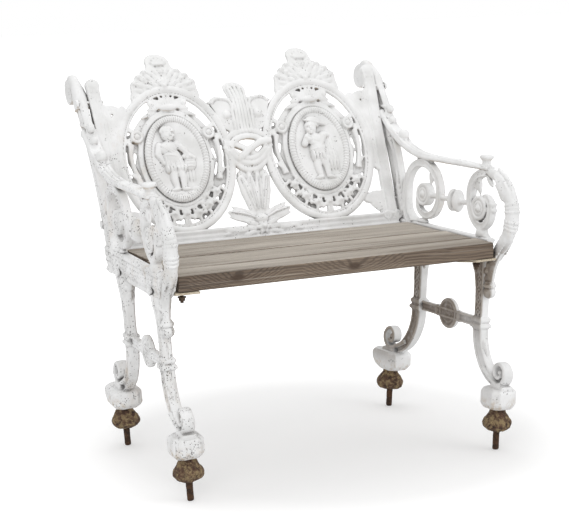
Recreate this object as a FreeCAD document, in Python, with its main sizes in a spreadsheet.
import FreeCAD, Part
import os
import re

# Cast iron garden bench: two end frames with legs, arms and scrolls, an openwork back panel with
# two oval medallions, and three wooden seat boards. Millimetres, +Z up, +Y to the back. The origin
# is on the ground, in the middle of the four foot pins.

doc = FreeCAD.newDocument("garden_bench")
sheet = doc.addObject("Spreadsheet::Sheet", "sizes")

whole_bench = {
    "frame_span": (841, "between the middle planes of the end frames at the cleats' top"),
    "frame_lean": (3.46, "end frames leaning out at the top, in degrees"),
    "frame_toe": (3.6, "end frames turned out at the front, in degrees"),
    "foot_reach": (242, "foot pins ahead of and behind the middle"),
    "seat_top": (514, "top of the seat boards above the pin tips"),
}
seat = {
    "rear_board": (165, "width of the rear board"),
    "middle_board": (125, "width of the middle board"),
    "front_board": (84, "width of the front board"),
    "board_gap": (6, "between two boards"),
    "board_thick": (38, "thickness of the boards"),
    "seat_rear": (162, "rear edge of the seat behind the middle"),
    "board_end_gap": (3, "between a board's end and the seat rail"),
    "cleat_wide": (60, "width of the cleat under the board ends"),
    "cleat_thick": (17, "thickness of the cleat"),
    "cleat_clear": (1.6, "between a cleat and the leaning seat rail"),
    "cleat_setback": (4, "cleat ends in from the seat's front and rear edges"),
}
end_frame = {
    "frame_thick": (26, "thickness of the seat rail and the legs"),
    "rail_rise": (4, "seat rail above the boards"),
    "rail_deep": (66, "height of the seat rail"),
    "rail_front_clear": (0.3, "between the seat rail's front end and the scroll's tail"),
    "rail_margin": (8, "seat rail behind the foot of the post"),
    "post_thick": (22, "thickness of the back post"),
    "post_wide": (46, "width of the back post"),
    "post_arc_back": (855, "centre of the post's curve behind the panel"),
    "post_arc_rise": (142, "centre of the post's curve along the panel"),
    "post_arc_radius": (870, "radius of the post's curve"),
    "post_rise": (376, "end of the post above the seat top"),
    "post_roll_radius": (36, "rolled top of the post"),
    "post_roll_back": (44, "centre of the rolled top behind the post's end"),
    "post_roll_drop": (14, "centre of the rolled top below the post's end"),
}
arm = {
    "arm_rise": (180, "top of the arm above the seat top"),
    "arm_thick": (13, "thickness of the arm"),
    "arm_wide": (32, "width of the arm"),
    "arm_front": (154, "front end of the arm ahead of the middle"),
    "arm_bend": (95, "where the arm starts to rise behind the middle"),
    "arm_join_rise": (287, "where the arm meets the post above the seat top"),
    "arm_ball_radius": (15, "ball on the rising part of the arm"),
    "arm_ball_back": (229, "ball behind the middle"),
    "arm_ball_sink": (3, "depth of the ball in the arm"),
    "knob_radius": (17, "cap of the front knob"),
    "knob_thick": (12, "thickness of the cap"),
    "knob_neck_radius": (11, "neck of the front knob"),
    "knob_neck": (13, "length of the neck"),
}
scrollwork = {
    "scroll_front": (162, "centre of the front scroll ahead of the middle"),
    "scroll_radius": (96, "middle line of the front scroll"),
    "scroll_wide": (36, "width of the front scroll"),
    "scroll_thick": (30, "thickness of the front scroll"),
    "scroll_turn": (45, "where the scroll turns into its tail, below level, in degrees"),
    "tail_wide": (24, "width of the scroll's tail"),
    "tail_cap_radius": (17, "cap at the end of the tail"),
    "tail_cap_thick": (6, "thickness of the tail's cap"),
    "tail_ball_radius": (15, "ball below the cap"),
    "tail_ball_bite": (2, "ball let into the leg"),
    "volute_thick": (18, "thickness of the volutes"),
    "volute_bar": (15, "width of a volute's bar"),
    "volute_bite": (3, "volute let into the arm and the rail"),
    "volute_eye_radius": (25, "disc in the middle of a volute"),
    "volute_eye_thick": (24, "thickness of the disc"),
    "rear_volute_clear": (0.4, "between the rear volute and the post"),
    "front_volute_front": (131, "front volute ahead of the middle"),
    "front_volute_half": (52, "half the width of the oval front volute"),
    "spoke_radius": (6, "bar through the volutes"),
    "boss_tall": (28, "half the height of the arm boss"),
    "boss_half": (18, "half the width of the arm boss"),
}
legs = {
    "leg_wide": (32, "width of the legs"),
    "front_leg_front": (155, "front leg ahead of the middle"),
    "rear_leg_back": (118, "rear leg behind the middle"),
    "collar_level": (302, "middle of the leg collars above the pin tips"),
    "collar_tall": (26, "height of the collars"),
    "collar_over": (4, "collars proud of the legs"),
    "front_leg_inset": (12, "end of the front leg's curve behind the pin"),
    "rear_leg_inset": (38, "end of the rear leg's curve ahead of the pin"),
    "curl_radius": (35, "curl above the foot block"),
    "curl_offset": (8, "curl ahead of the pin"),
    "curl_sink": (3, "curl let into the foot block"),
    "block_top": (165, "top of the foot blocks"),
    "block_bottom": (105, "bottom of the foot blocks"),
    "block_wide": (74, "width of the foot blocks"),
    "front_block_long": (76, "depth of the front foot block"),
    "rear_block_long": (112, "depth of the rear foot block"),
    "block_step": (6, "stepped edges of the foot blocks"),
    "block_step_tall": (13, "height of the stepped edges"),
    "stretcher_tall": (24, "height of the stretcher"),
    "stretcher_thick": (14, "thickness of the stretcher"),
    "stretcher_boss_radius": (39, "round boss of the stretcher"),
    "stretcher_boss_thick": (18, "thickness of the boss"),
}
feet = {
    "ball_level": (73, "middle of the ball feet above the pin tips"),
    "ball_radius": (36, "radius of the ball feet"),
    "ball_half_tall": (26, "half the height of the ball feet"),
    "ball_neck_radius": (19, "neck between ball and foot block"),
    "pin_radius": (8, "foot pins below the ball feet"),
    "tang_radius": (6, "thinner upper part of the foot pins"),
    "pin_depth": (30, "pin inside the foot block"),
    "pin_clear": (0.3, "clearance round the pins"),
}
back_panel_sizes = {
    "rake": (22.8, "panel leaning back, in degrees"),
    "panel_back": (212, "panel behind the middle at the seat top"),
    "panel_thick": (16, "thickness of the panel"),
    "panel_clear": (0.3, "between the panel and the seat rails"),
    "stile_wide": (26, "side bars of the panel"),
    "stile_lean": (1.9, "side bars leaning out with the posts, in degrees"),
    "stile_rise": (430, "top of the side bars along the panel"),
    "panel_low": (15, "bottom bar below the seat top, along the panel"),
    "panel_high": (23, "bottom bar above the seat top, along the panel"),
    "centre_gap": (83, "between the two oval rings"),
    "stile_gap": (8, "between a ring and a side bar"),
    "ring_rise": (209, "middle of the rings along the panel"),
    "ring_half_tall": (194.5, "half the height of the rings"),
    "ring_bar": (20, "width of a ring's bar"),
    "ring_thick": (18, "thickness of the rings"),
    "link_rise": (124, "corner links above and below the rings' middle"),
    "link_tall": (20, "height of the links"),
    "link_bite": (14, "links let into the rings"),
    "crest_lobe": (30, "middle lobe of a crest"),
    "crest_side_lobe": (26, "side lobes of a crest"),
    "crest_end_lobe": (20, "end lobes of a crest"),
    "crest_step": (40, "between the lobes of a crest"),
    "crest_rise": (55, "middle lobe above the ring"),
    "crest_side_rise": (33, "side lobes above the ring"),
    "crest_end_rise": (12, "end lobes above the ring"),
    "crest_thick": (12, "thickness of the ornaments"),
    "stem_half": (14, "half the width of the centre stem"),
    "palmette_rise": (379, "middle of the palmette along the panel"),
    "palmette_radius": (30, "palmette at the top of the centre stem"),
    "leaf_rise": (100, "middle of the leaf bundle along the panel"),
    "leaf_half": (36, "half the width of the leaf bundle"),
    "leaf_half_tall": (80, "half the height of the leaf bundle"),
}
medallion = {
    "medallion_side_gap": (52, "between ring and medallion at the sides"),
    "medallion_end_gap": (60, "between ring and medallion at top and bottom"),
    "medallion_thick": (9, "thickness of the plaque"),
    "medallion_border": (12, "width of the raised border"),
    "medallion_lip": (4, "height of the raised border"),
    "holder_inset": (6, "holder ring in from the plaque's edge"),
    "holder_wide": (14, "width of the holder ring"),
    "holder_face": (2, "front of the holder ring ahead of the panel's middle"),
    "clip_wide": (60, "ornament above and below the medallion"),
    "wing_tall": (36, "ornament at the sides of the medallion"),
}
fasteners = {
    "bolt_radius": (4, "shank of the bolts"),
    "bolt_clear": (0.3, "clearance round the bolts"),
    "frame_hole_clear": (2.6, "clearance where level bolts pass the leaning end frames"),
    "nut_bite": (0.4, "nuts let into the turned faces under them"),
    "seat_head_radius": (9, "sunk head of the seat bolts"),
    "seat_head_thick": (5, "thickness of the sunk head"),
    "round_head_radius": (10, "round head of the cleat and panel bolts"),
    "round_head_thick": (6, "thickness of the round head"),
    "nut_radius": (8, "nuts across the corners, halved"),
    "nut_thick": (7, "thickness of the nuts"),
    "washer_radius": (10, "washers under the seat nuts"),
    "washer_thick": (2, "thickness of the washers"),
    "bolt_tip": (5, "bolt beyond its nut"),
    "cleat_bolt_front": (125, "front cleat bolt ahead of the middle"),
    "cleat_bolt_rear": (128, "rear cleat bolt behind the middle"),
    "panel_bolt_low": (60, "lower panel bolt along the panel"),
    "panel_bolt_high": (372, "upper panel bolt along the panel"),
    "screw_radius": (3, "screws of the medallions"),
    "screw_head_radius": (6, "heads of those screws"),
    "screw_head_thick": (3, "thickness of those heads"),
    "screw_depth": (5, "screw inside the plaque"),
}
families = (whole_bench, seat, end_frame, arm, scrollwork, legs, feet,
            back_panel_sizes, medallion, fasteners)
aliases = set()
row = 0
for family in families:
    for alias, (value, meaning) in family.items():
        row += 1
        sheet.set(f"A{row}", meaning)
        sheet.set(f"B{row}", str(value))
        sheet.setAlias(f"B{row}", alias)
        aliases.add(alias)
doc.recompute()

right_angle = 90
about_x = FreeCAD.Vector(1, 0, 0)
about_y = FreeCAD.Vector(0, 1, 0)
about_z = FreeCAD.Vector(0, 0, 1)
along_x = FreeCAD.Rotation(about_y, right_angle)
along_y = FreeCAD.Rotation(about_x, -right_angle)
nodes = []


def formula(text):
    return re.sub(r"[a-z][a-z_]*", lambda word: "sizes." + word[0] if word[0] in aliases else word[0], text)


def bind(obj, **values):
    for name, text in values.items():
        obj.setExpression(name, formula(text))
    return obj


def put(obj, x, y, z):
    for axis, text in zip("xyz", (x, y, z)):
        obj.setExpression(f"Placement.Base.{axis}", formula(text))
    return obj


def node(obj, label):
    obj.Label = label
    nodes.append(obj)
    return obj


def block(x, y, z):
    box = doc.addObject("Part::Box", "block")
    spans = [f"({high}) - ({low})" for low, high in (x, y, z)]
    bind(box, Length=spans[0], Width=spans[1], Height=spans[2])
    return put(box, x[0], y[0], z[0])


def around(middle, half):
    return f"{middle} - ({half})", f"{middle} + ({half})"


def disc(x, y, z, radius, thick):
    round_plate = bind(doc.addObject("Part::Cylinder", "disc"), Radius=radius, Height=thick)
    round_plate.Placement.Rotation = along_x
    return put(round_plate, f"{x} - ({thick}) / 2", y, z)


def rod(x, y, z, radius):
    upright = bind(doc.addObject("Part::Cylinder", "rod"), Radius=radius, Height=f"({z[1]}) - ({z[0]})")
    return put(upright, x, y, z[0])


def bar(x, y, z, radius):
    level = bind(doc.addObject("Part::Cylinder", "bar"), Radius=radius, Height=f"({y[1]}) - ({y[0]})")
    level.Placement.Rotation = along_y
    return put(level, x, y[0], z)


def ball(x, y, z, radius):
    return put(bind(doc.addObject("Part::Sphere", "ball"), Radius=radius), x, y, z)


def oval(x, y, z, half_wide, half_tall, thick):
    longer = f"max({half_wide}; {half_tall})"
    shorter = f"min({half_wide}; {half_tall})"
    outline = bind(doc.addObject("Part::Ellipse", "outline"), MajorRadius=longer, MinorRadius=shorter)
    put(outline, x, y, z)
    outline.Placement.Rotation = FreeCAD.Rotation(about_z, right_angle)
    turn = f"({half_tall}) > ({half_wide}) ? {right_angle} : {2 * right_angle}"
    bind(outline, **{"Placement.Rotation.Angle": turn})
    plate = doc.addObject("Part::Extrusion", "oval")
    plate.Base = outline
    plate.DirMode = "Normal"
    plate.Solid = True
    return bind(plate, LengthFwd=thick)


def cut(base, *tools):
    for tool in tools:
        result = doc.addObject("Part::Cut", "cut")
        result.Base = base
        result.Tool = tool
        base = result
    return base


def fuse(*pieces):
    result = doc.addObject("Part::MultiFuse", "fuse")
    result.Shapes = list(pieces)
    return result


def common(*pieces):
    result = doc.addObject("Part::MultiCommon", "common")
    result.Shapes = list(pieces)
    return result


def ring(x, y, z, radius, wide, thick):
    outer = disc(x, y, z, f"{radius} + ({wide}) / 2", thick)
    return cut(outer, disc(x, y, z, f"{radius} - ({wide}) / 2", thick))


def group(label, pieces):
    together = doc.addObject("Part::Compound", label)
    together.Links = pieces
    return node(together, label)


def half(size):
    return f"{size} / 2"


def sided(side, low, high):
    return (low, high) if side > 0 else (f"-({high})", f"-({low})")


# Levels and places that several pieces share.
rail_top = "(seat_top + rail_rise)"
rail_bottom = "(seat_top + rail_rise - rail_deep)"
arm_top = "(seat_top + arm_rise)"
arm_bottom = "(seat_top + arm_rise - arm_thick)"
arm_middle = "(seat_top + arm_rise - arm_thick / 2)"
board_bottom = "(seat_top - board_thick)"
cleat_bottom = "(seat_top - board_thick - cleat_thick)"
rail_inside = "(frame_span / 2 - frame_thick / 2)"
pivot_level = "(seat_top - board_thick)"
seat_front = "(seat_rear - rear_board - middle_board - front_board - board_gap * 2)"
ball_bottom = "(ball_level - ball_half_tall)"
collar_bottom = "(collar_level - collar_tall / 2)"
collar_top = "(collar_level + collar_tall / 2)"
volute_half = "((arm_rise - arm_thick - rail_rise) / 2 + volute_bite)"
volute_level = "(seat_top + (arm_rise - arm_thick + rail_rise) / 2)"
panel_half = f"({rail_inside} - (panel_back + panel_thick) * sin(frame_toe) - panel_clear)"
ring_half = f"(({panel_half} - stile_wide - stile_gap - centre_gap / 2) / 2)"
ring_middle = f"(centre_gap / 2 + {ring_half})"
medallion_half = f"({ring_half} - ring_bar - medallion_side_gap)"
medallion_half_tall = "(ring_half_tall - ring_bar - medallion_end_gap)"
scroll_level = f"({arm_top} - scroll_radius - scroll_wide / 2)"
turn_run = "scroll_radius * cos(scroll_turn)"
turn_level = f"({scroll_level} - scroll_radius * sin(scroll_turn))"
tail_front = "(front_leg_front + leg_wide / 2 + tail_ball_radius - tail_ball_bite)"
tail_radius = f"((scroll_front + {turn_run} - {tail_front}) / (1 - cos(scroll_turn)))"
tail_centre = f"({tail_front} + {tail_radius})"
tail_level = f"({scroll_level} - (scroll_radius + {tail_radius}) * sin(scroll_turn))"
tail_fall = f"({rail_bottom} - {tail_level})"
tail_rear = f"({tail_centre} - sqrt(({tail_radius} + tail_wide / 2) ^ 2 - {tail_fall} ^ 2))"
rail_front = f"({tail_rear} - rail_front_clear)"
post_centre_back = "(panel_back + post_arc_rise * sin(rake) + post_arc_back * cos(rake))"
post_centre_level = "(seat_top + post_arc_rise * cos(rake) - post_arc_back * sin(rake))"
volute_reach = f"(post_arc_radius + post_wide / 2 + rear_volute_clear + {volute_half})"
volute_fall = f"({volute_level} - {post_centre_level})"
rear_volute_back = f"({post_centre_back} - sqrt({volute_reach} ^ 2 - {volute_fall} ^ 2))"


def post_place(level):
    return f"({post_centre_back} - sqrt(post_arc_radius ^ 2 - ({level} - {post_centre_level}) ^ 2))"


def on_panel(rise):
    return f"(panel_back + ({rise}) * sin(rake))", f"(seat_top + ({rise}) * cos(rake))"


def panel_bolt_places():
    return [on_panel(rise) for rise in ("panel_bolt_low", "panel_bolt_high")]


def cleat_bolt_places():
    level = f"{board_bottom} - cleat_thick / 2"
    return [("-cleat_bolt_front", level), ("cleat_bolt_rear", level)]


def seat_bolt_places():
    rear = "(seat_rear - rear_board / 2)"
    middle = "(seat_rear - rear_board - board_gap - middle_board / 2)"
    front = f"({seat_front} + front_board / 2)"
    away = f"{rail_inside} - cleat_wide / 2"
    return [(f"{sign}({away} - {y} * sin(frame_toe))", y)
            for y in (rear, middle, front) for sign in ("", "-")]


bolt_hole = "bolt_radius + bolt_clear"
frame_hole = "bolt_radius + frame_hole_clear"


def drift(y, z):
    # how far the splay carries an end frame outwards at a place
    return f"(({z} - {pivot_level}) * tan(frame_lean) - ({y}) * sin(frame_toe))"


def toe_out(obj, side):
    turned = doc.addObject("Part::Compound", "turned")
    turned.Links = [obj]
    turned.Placement.Rotation = FreeCAD.Rotation(about_z * side, right_angle)
    bind(turned, **{"Placement.Rotation.Angle": "frame_toe"})
    return put(turned, f"{side} * frame_span / 2 * (1 - cos(frame_toe))",
               "-frame_span / 2 * sin(frame_toe)", "0")


def splay(obj, side):
    # about the frame's middle at the cleats' top, and down until the pins' edges touch the ground
    leaning = doc.addObject("Part::Compound", "leaning")
    leaning.Links = [obj]
    leaning.Placement.Rotation = FreeCAD.Rotation(about_y * side, right_angle)
    bind(leaning, **{"Placement.Rotation.Angle": "frame_lean"})
    across = f"{side} * (frame_span / 2 * (1 - cos(frame_lean)) - {pivot_level} * sin(frame_lean))"
    put(leaning, across, "0", "(frame_span / 2 + pin_radius) * sin(frame_lean)")
    return toe_out(leaning, side)


def back_post(x):
    level = "(seat_top + post_rise)"
    curve = ring(x, post_centre_back, post_centre_level, "post_arc_radius", "post_wide", "post_thick")
    reach = (f"{post_place(rail_top)} - post_wide", f"{post_place(level)} + post_wide")
    upright = common(curve, block(around(x, half("post_thick")), reach, (rail_top, level)))
    roll = disc(x, f"{post_place(level)} + post_roll_back", f"{level} - post_roll_drop",
                "post_roll_radius", "post_thick")
    holes = [disc(x, y, z, frame_hole, "post_thick * 2") for y, z in panel_bolt_places()]
    return cut(fuse(upright, roll), *holes)


def seat_rail(x, scroll):
    span = (f"-{rail_front}", f"{post_place(rail_top)} + post_wide / 2 + rail_margin")
    plain = block(around(x, half("frame_thick")), span, (rail_bottom, rail_top))
    holes = [disc(x, y, z, frame_hole, "frame_thick * 2") for y, z in cleat_bolt_places()]
    return cut(plain, scroll, *holes)


def arm_rail(x, post):
    join = "(seat_top + arm_join_rise)"
    run = f"({post_place(join)} - arm_bend)"
    rise = f"({join} - {arm_middle})"
    radius = f"(({run} ^ 2 + {rise} ^ 2) / (2 * {rise}))"
    straight = block(around(x, half("arm_wide")), ("-arm_front", "arm_bend"), (arm_bottom, arm_top))
    curve = ring(x, "arm_bend", f"{arm_middle} + {radius}", radius, "arm_thick", "post_thick")
    window = block(around(x, half("post_thick")), ("arm_bend", post_place(join)), (arm_bottom, join))
    ball_run = "(arm_ball_back - arm_bend)"
    ball_lift = f"({radius} - sqrt({radius} ^ 2 - {ball_run} ^ 2))"
    ball_level = f"{arm_middle} + {ball_lift} + arm_thick / 2 + arm_ball_radius - arm_ball_sink"
    finial = ball(x, "arm_ball_back", ball_level, "arm_ball_radius")
    return cut(fuse(straight, common(curve, window), finial), post)


def arm_scroll(x, leg):
    curve = ring(x, "-scroll_front", scroll_level, "scroll_radius", "scroll_wide", "scroll_thick")
    scroll_end = "-(scroll_front + scroll_radius + scroll_wide)"
    across = around(x, half("scroll_thick"))
    body = common(curve, block(across, (scroll_end, "-arm_front"), (turn_level, arm_top)))
    tail_curve = ring(x, f"-{tail_centre}", tail_level, tail_radius, "tail_wide", "scroll_thick")
    tail_window = block(across, (f"-{tail_centre}", f"-{tail_front} + tail_wide"), (tail_level, turn_level))
    cap = rod(x, f"-{tail_front}", (f"{tail_level} - tail_cap_thick", tail_level), "tail_cap_radius")
    ball_level = f"{tail_level} - tail_cap_thick - tail_ball_radius + tail_ball_bite"
    knuckle = ball(x, f"-{tail_front}", ball_level, "tail_ball_radius")
    return cut(fuse(body, common(tail_curve, tail_window), cap, knuckle), leg)


def volute_spoke(x, start, end):
    return bar(x, (start, end), volute_level, "spoke_radius")


def rear_volute(x, arm_piece, rail):
    place = rear_volute_back
    hoop = ring(x, place, volute_level, f"{volute_half} - volute_bar / 2", "volute_bar", "volute_thick")
    eye = disc(x, place, volute_level, "volute_eye_radius", "volute_eye_thick")
    spoke = volute_spoke(x, f"{place} - {volute_half} + volute_bar / 2", place)
    return cut(fuse(hoop, eye, spoke), arm_piece, rail)


def front_volute(x, arm_piece, rail, scroll):
    place = "-front_volute_front"
    outer = oval("0", "0", "-volute_thick / 2", "front_volute_half", volute_half, "volute_thick")
    inner = oval("0", "0", "-volute_thick / 2", "front_volute_half - volute_bar",
                 f"{volute_half} - volute_bar", "volute_thick")
    hoop = cut(outer, inner)
    hoop.Placement.Rotation = FreeCAD.Rotation(FreeCAD.Vector(1, 1, 1), 120)
    put(hoop, x, place, volute_level)
    eye = disc(x, place, volute_level, "volute_eye_radius", "volute_eye_thick")
    rear_end = f"{place} + front_volute_half - volute_bar / 2"
    spoke = volute_spoke(x, "-(scroll_front + scroll_radius)", rear_end)
    return cut(fuse(hoop, eye, spoke), arm_piece, rail, scroll)


def arm_boss(x, rear, front):
    rear_edge = f"({rear_volute_back} - {volute_half})"
    front_edge = "(front_volute_half - front_volute_front)"
    knuckle = doc.addObject("Part::Ellipsoid", "knuckle")
    bind(knuckle, Radius1="boss_tall", Radius2="boss_half", Radius3="boss_half")
    put(knuckle, x, f"({rear_edge} + {front_edge}) / 2", volute_level)
    link = volute_spoke(x, f"{front_edge} - volute_bar / 2", f"{rear_edge} + volute_bar / 2")
    return cut(fuse(knuckle, link), rear, front)


def arm_knob(x):
    place = "-(arm_front - knob_neck_radius)"
    neck = rod(x, place, (arm_top, f"{arm_top} + knob_neck"), "knob_neck_radius")
    cap = rod(x, place, (f"{arm_top} + knob_neck", f"{arm_top} + knob_neck + knob_thick"), "knob_radius")
    return fuse(neck, cap)


def foot_block(x, y, long):
    wide = around(x, half("block_wide"))
    inner_wide = around(x, "block_wide / 2 - block_step")
    inner_long = around(y, f"{long} / 2 - block_step")
    core_levels = ("block_bottom + block_step_tall", "block_top - block_step_tall")
    core = block(wide, around(y, half(long)), core_levels)
    return fuse(core, block(inner_wide, inner_long, ("block_bottom", "block_top")))


def leg(x, side, place, inset, long):
    start = f"{side} * {place}"
    pin = f"{side} * foot_reach"
    run = f"(foot_reach - {inset} - {place})"
    drop = f"({collar_bottom} - block_top)"
    radius = f"(({run} ^ 2 + {drop} ^ 2) / (2 * {run}))"
    across = around(x, half("frame_thick"))
    upper = block(across, around(start, half("leg_wide")), (collar_top, rail_bottom))
    collar = block(around(x, "frame_thick / 2 + collar_over"), around(start, "leg_wide / 2 + collar_over"),
                   (collar_bottom, collar_top))
    curve = ring(x, f"{side} * ({place} + {radius})", collar_bottom, radius, "leg_wide", "frame_thick")
    sweep = sided(side, f"{place} - leg_wide", "foot_reach")
    lower = common(curve, block(across, sweep, ("block_top", collar_bottom)))
    curl = disc(x, f"{side} * foot_reach - curl_offset", "block_top + curl_radius - curl_sink",
                "curl_radius", "frame_thick")
    hole = rod(x, pin, ("block_bottom", "block_bottom + pin_depth + pin_clear"), "tang_radius + pin_clear")
    return cut(fuse(upper, collar, lower, curl, foot_block(x, pin, long)), hole)


def leg_stretcher(x):
    front = "(-front_leg_front + leg_wide / 2 + collar_over)"
    rear = "(rear_leg_back - leg_wide / 2 - collar_over)"
    levels = around("collar_level", half("stretcher_tall"))
    span = block(around(x, half("stretcher_thick")), (front, rear), levels)
    middle = f"({front} + {rear}) / 2"
    boss = disc(x, middle, "collar_level", "stretcher_boss_radius", "stretcher_boss_thick")
    return fuse(span, boss)


def ball_foot(x, y):
    bulb = doc.addObject("Part::Ellipsoid", "bulb")
    bind(bulb, Radius1="ball_half_tall", Radius2="ball_radius", Radius3="ball_radius")
    put(bulb, x, y, "ball_level")
    neck = rod(x, y, ("ball_level", "block_bottom"), "ball_neck_radius")
    bore = rod(x, y, (ball_bottom, "block_bottom"), "tang_radius + pin_clear")
    return cut(fuse(bulb, neck), bore)


def foot_pin(x, y):
    tang = rod(x, y, ("0", "block_bottom + pin_depth"), "tang_radius")
    return fuse(rod(x, y, ("0", ball_bottom), "pin_radius"), tang)


def seat_cleat(side, scroll):
    across = sided(side, f"{rail_inside} - cleat_wide", f"{rail_inside} - cleat_clear")
    straight = block(across, (f"{seat_front} + cleat_setback", "seat_rear - cleat_setback"),
                     (cleat_bottom, board_bottom))
    plain = toe_out(straight, side)
    middle = f"{side} * ({rail_inside} - cleat_wide / 2)"
    level_holes = [disc(middle, y, z, bolt_hole, "cleat_wide * 2") for y, z in cleat_bolt_places()]
    upright_holes = [rod(x, y, (f"{cleat_bottom} - cleat_thick", "seat_top"), bolt_hole)
                     for x, y in seat_bolt_places()]
    return cut(plain, scroll, *level_holes, *upright_holes)


def end_frame_nodes(name, side):
    x = f"{side} * frame_span / 2"
    post = back_post(x)
    arm_piece = arm_rail(x, post)
    front_leg = leg(x, -1, "front_leg_front", "front_leg_inset", "front_block_long")
    scroll = arm_scroll(x, front_leg)
    rail = seat_rail(x, scroll)
    rear = rear_volute(x, arm_piece, rail)
    front = front_volute(x, arm_piece, rail, scroll)
    castings = {
        "back_post": post, "arm_rail": arm_piece, "front_leg": front_leg,
        "rear_leg": leg(x, 1, "rear_leg_back", "rear_leg_inset", "rear_block_long"),
        "arm_scroll": scroll, "seat_rail": rail, "rear_volute": rear, "front_volute": front,
        "arm_boss": arm_boss(x, rear, front), "arm_knob": arm_knob(x), "leg_stretcher": leg_stretcher(x),
    }
    for place, y in (("front", "-foot_reach"), ("rear", "foot_reach")):
        castings[f"{place}_foot"] = ball_foot(x, y)
        castings[f"{place}_pin"] = foot_pin(x, y)
    placed = {piece: node(splay(obj, side), f"{name}_{piece}") for piece, obj in castings.items()}
    placed["seat_cleat"] = node(seat_cleat(side, placed["arm_scroll"]), f"{name}_seat_cleat")
    return placed


def seat_boards():
    edge = "seat_rear"
    for name in ("rear_board", "middle_board", "front_board"):
        front = f"({edge} - {name})"
        length = around("0", f"({rail_inside} - {edge} * sin(frame_toe) - board_end_gap)")
        plain = block(length, (front, edge), (board_bottom, "seat_top"))
        shanks = [rod(x, y, (board_bottom, "seat_top"), bolt_hole) for x, y in seat_bolt_places()]
        heads = [rod(x, y, ("seat_top - seat_head_thick", "seat_top"), "seat_head_radius + bolt_clear")
                 for x, y in seat_bolt_places()]
        node(cut(plain, *shanks, *heads), name)
        edge = f"({front} - board_gap)"


def plate(x, rise, thick):
    return block(x, rise, around("0", half(thick)))


def lobe(x, rise, radius, thick):
    round_plate = bind(doc.addObject("Part::Cylinder", "lobe"), Radius=radius, Height=thick)
    return put(round_plate, x, rise, f"-({thick}) / 2")


def oval_ring(x, outer_wide, outer_tall, bar_wide, back, thick):
    outer = oval(x, "ring_rise", back, outer_wide, outer_tall, thick)
    inner = oval(x, "ring_rise", back, f"{outer_wide} - {bar_wide}", f"{outer_tall} - {bar_wide}", thick)
    return cut(outer, inner)


def lean(obj):
    # from lying flat to the panel's rake
    put(obj, "0", "panel_back", "seat_top")
    obj.Placement.Rotation = FreeCAD.Rotation(about_x, right_angle)
    return bind(obj, **{"Placement.Rotation.Angle": "90 - rake"})


def crest(x):
    ring_top = "(ring_rise + ring_half_tall)"
    lobes = [lobe(x, f"{ring_top} + crest_rise", "crest_lobe", "crest_thick")]
    for side in (-1, 1):
        near = f"{x} + {side} * crest_step"
        lobes.append(lobe(near, f"{ring_top} + crest_side_rise", "crest_side_lobe", "crest_thick"))
        shoulder = f"ring_half_tall * sqrt(1 - (2 * crest_step / {ring_half}) ^ 2)"
        lobes.append(lobe(f"{near} + {side} * crest_step", f"ring_rise + {shoulder} + crest_end_rise",
                          "crest_end_lobe", "crest_thick"))
    foot_rise = (f"{ring_top} - ring_bar / 2", f"{ring_top} + crest_side_rise")
    return lobes + [plate(around(x, "crest_step"), foot_rise, "crest_thick")]


def oval_unit(side):
    x = f"{side} * {ring_middle}"
    hoop = oval_ring(x, ring_half, "ring_half_tall", "ring_bar", "-ring_thick / 2", "ring_thick")
    holder = oval_ring(x, f"({medallion_half} - holder_inset)", f"({medallion_half_tall} - holder_inset)",
                       "holder_wide", "-ring_thick / 2", "ring_thick / 2 + holder_face")
    holder_edge = "(holder_inset + holder_wide)"
    ends = []
    for way in (-1, 1):
        inner_rise = f"ring_rise + {way} * ({medallion_half_tall} - {holder_edge})"
        outer_rise = f"ring_rise + {way} * (ring_half_tall - ring_bar / 2)"
        rise = (inner_rise, outer_rise) if way > 0 else (outer_rise, inner_rise)
        behind = ("-ring_thick / 2", "holder_face")
        ends.append(block(around(x, half("clip_wide")), rise, behind))
        inner_x = f"{x} + {way} * ({medallion_half} - {holder_edge})"
        outer_x = f"{x} + {way} * ({ring_half} - ring_bar / 2)"
        across = (inner_x, outer_x) if way > 0 else (outer_x, inner_x)
        ends.append(block(across, around("ring_rise", half("wing_tall")), behind))
    mount = cut(fuse(holder, *ends), *screw_holes(side, "ring_thick"))
    return [hoop, mount] + crest(x)


def side_links(side):
    links = []
    for offset in ("-link_rise", "link_rise", "0"):
        reach = f"{ring_half} * sqrt(1 - (link_rise / ring_half_tall) ^ 2)" if offset != "0" else ring_half
        across = sided(side, f"{ring_middle} + {reach} - link_bite", f"{panel_half} - link_bite / 2")
        links.append(plate(across, around(f"ring_rise + {offset}", half("link_tall")), "panel_thick"))
    return links


def screw_rises():
    reach = f"({medallion_half_tall} - holder_inset - holder_wide / 2)"
    return [f"ring_rise - {reach}", f"ring_rise + {reach}"]


def screw_holes(side, front):
    holes = []
    for rise in screw_rises():
        tool = bind(doc.addObject("Part::Cylinder", "screw_hole"), Radius="screw_radius + bolt_clear",
                    Height=f"ring_thick + {front}")
        holes.append(put(tool, f"{side} * {ring_middle}", rise, "-ring_thick"))
    return holes


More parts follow.
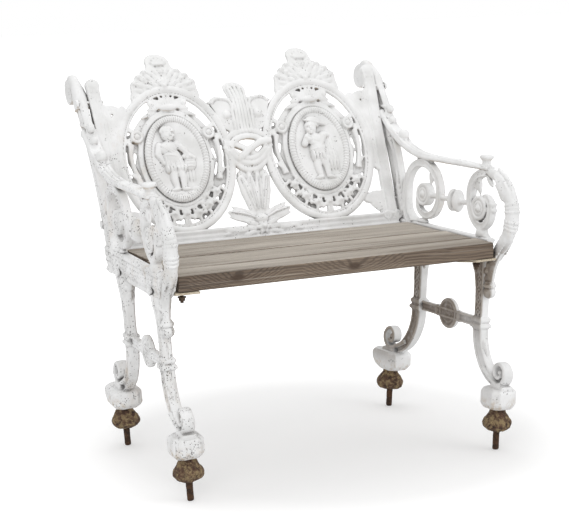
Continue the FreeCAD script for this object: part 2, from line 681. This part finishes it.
def back_panel():
    pieces = [plate(around("0", panel_half), ("-panel_low", "panel_high"), "panel_thick")]
    for side in (-1, 1):
        stile = plate(("-stile_wide / 2", "stile_wide / 2"), ("0", "stile_rise"), "panel_thick")
        upright = doc.addObject("Part::Compound", "stile")
        upright.Links = [stile]
        upright.Placement.Rotation = FreeCAD.Rotation(about_z * -side, right_angle)
        bind(upright, **{"Placement.Rotation.Angle": "stile_lean"})
        pieces.append(put(upright, f"{side} * ({panel_half} - stile_wide / 2)", "0", "0"))
        pieces += oval_unit(side) + side_links(side)
    pieces.append(plate(around("0", "stem_half"), ("panel_high / 2", "palmette_rise"), "crest_thick"))
    pieces.append(lobe("0", "palmette_rise", "palmette_radius", "crest_thick"))
    knot = around("0", "centre_gap / 2 + ring_bar / 2")
    pieces.append(plate(knot, around("ring_rise", half("link_tall")), "panel_thick"))
    pieces.append(oval("0", "leaf_rise", "-crest_thick / 2", "leaf_half", "leaf_half_tall", "crest_thick"))
    casting = lean(fuse(*pieces))
    holes = [disc("0", y, z, bolt_hole, "frame_span") for y, z in panel_bolt_places()]
    return cut(casting, *holes)


def medallion_plaque(side):
    x = f"{side} * {ring_middle}"
    face = oval(x, "ring_rise", "holder_face", medallion_half, medallion_half_tall, "medallion_thick")
    border = oval_ring(x, medallion_half, medallion_half_tall, "medallion_border",
                       "holder_face + medallion_thick", "medallion_lip")
    return lean(cut(fuse(face, border), *screw_holes(side, "holder_face + screw_depth")))


def medallion_screws():
    screws = []
    for side in (-1, 1):
        for rise in screw_rises():
            x = f"{side} * {ring_middle}"
            shank = bind(doc.addObject("Part::Cylinder", "shank"), Radius="screw_radius",
                         Height="ring_thick / 2 + holder_face + screw_depth")
            put(shank, x, rise, "-ring_thick / 2")
            head = bind(doc.addObject("Part::Cylinder", "head"), Radius="screw_head_radius",
                        Height="screw_head_thick")
            put(head, x, rise, "-ring_thick / 2 - screw_head_thick")
            screws.append(lean(fuse(shank, head)))
    group("medallion_screws", screws)


def nut_on(obj, hole):
    return cut(bind(obj, Circumradius="nut_radius", Height="nut_thick"), hole)


def seat_fasteners():
    bolts, washers, nuts = [], [], []
    washer_bottom = f"({cleat_bottom} - washer_thick)"
    nut_bottom = f"({cleat_bottom} - washer_thick - nut_thick)"
    for x, y in seat_bolt_places():
        shank = rod(x, y, (f"{nut_bottom} - bolt_tip", "seat_top"), "bolt_radius")
        head = rod(x, y, ("seat_top - seat_head_thick", "seat_top"), "seat_head_radius")
        bolts.append(fuse(shank, head))
        hole = rod(x, y, (f"{nut_bottom} - bolt_tip", "seat_top"), bolt_hole)
        washers.append(cut(rod(x, y, (washer_bottom, cleat_bottom), "washer_radius"), hole))
        hexagon = put(doc.addObject("Part::Prism", "hexagon"), x, y, nut_bottom)
        nuts.append(nut_on(hexagon, hole))
    group("seat_bolts", bolts)
    group("seat_washers", washers)
    group("seat_nuts", nuts)


def level_fasteners(name, places, outside, inside, inner_piece):
    bolts, nuts = [], []
    for side, pieces in ends.items():
        for y, z in places:
            outer = f"({outside} + {drift(y, z)} + round_head_thick / 2)"
            inner = f"({inside(y, z)} + nut_bite)"
            length = f"({outer} - {inner} + nut_thick + bolt_tip)"
            middle = f"{side} * ({outer} - {length} / 2)"
            shank = disc(middle, y, z, "bolt_radius", length)
            head = disc(f"{side} * ({outside} + round_head_thick / 2)", y, z,
                        "round_head_radius", "round_head_thick")
            bolts.append(fuse(shank, splay(head, side)))
            hexagon = doc.addObject("Part::Prism", "hexagon")
            hexagon.Placement.Rotation = along_x
            put(hexagon, f"{side} * ({inner} - nut_thick / 2) - nut_thick / 2", y, z)
            nut = nut_on(hexagon, disc(middle, y, z, bolt_hole, length))
            nuts.append(cut(nut, inner_piece or pieces["seat_cleat"]))
    group(f"{name}_bolts", bolts)
    group(f"{name}_nuts", nuts)


def cleat_inside(y, z):
    return f"({rail_inside} - cleat_wide - ({y}) * sin(frame_toe))"


def stile_inside(y, z):
    return f"({panel_half} - stile_wide + ({z} - seat_top) / cos(rake) * tan(stile_lean))"


ends = {}
for frame_name, frame_side in (("left", -1), ("right", 1)):
    ends[frame_side] = end_frame_nodes(frame_name, frame_side)
    node(medallion_plaque(frame_side), f"{frame_name}_medallion")
panel = node(back_panel(), "back_panel")
seat_boards()
medallion_screws()
seat_fasteners()
rail_outside = "(frame_span / 2 + frame_thick / 2)"
post_outside = "(frame_span / 2 + post_thick / 2)"
level_fasteners("cleat", cleat_bolt_places(), rail_outside, cleat_inside, None)
level_fasteners("panel", panel_bolt_places(), post_outside, stile_inside, panel)
doc.recompute()

for obj in doc.Objects:
    if "Invalid" in obj.State or "Error" in obj.State:
        raise RuntimeError(f"{obj.Label} did not build: {obj.State}")
for obj in nodes:
    if obj.Shape.isNull() or not obj.Shape.isValid():
        raise RuntimeError(f"{obj.Label} has no sound shape")
os.makedirs("parts", exist_ok=True)
for obj in nodes:
    obj.Shape.exportStep(f"parts/{obj.Label}.step")
    print(f"{obj.Label}: {len(obj.Shape.Solids)} solid, {obj.Shape.Volume / 1000:.1f} cm3")
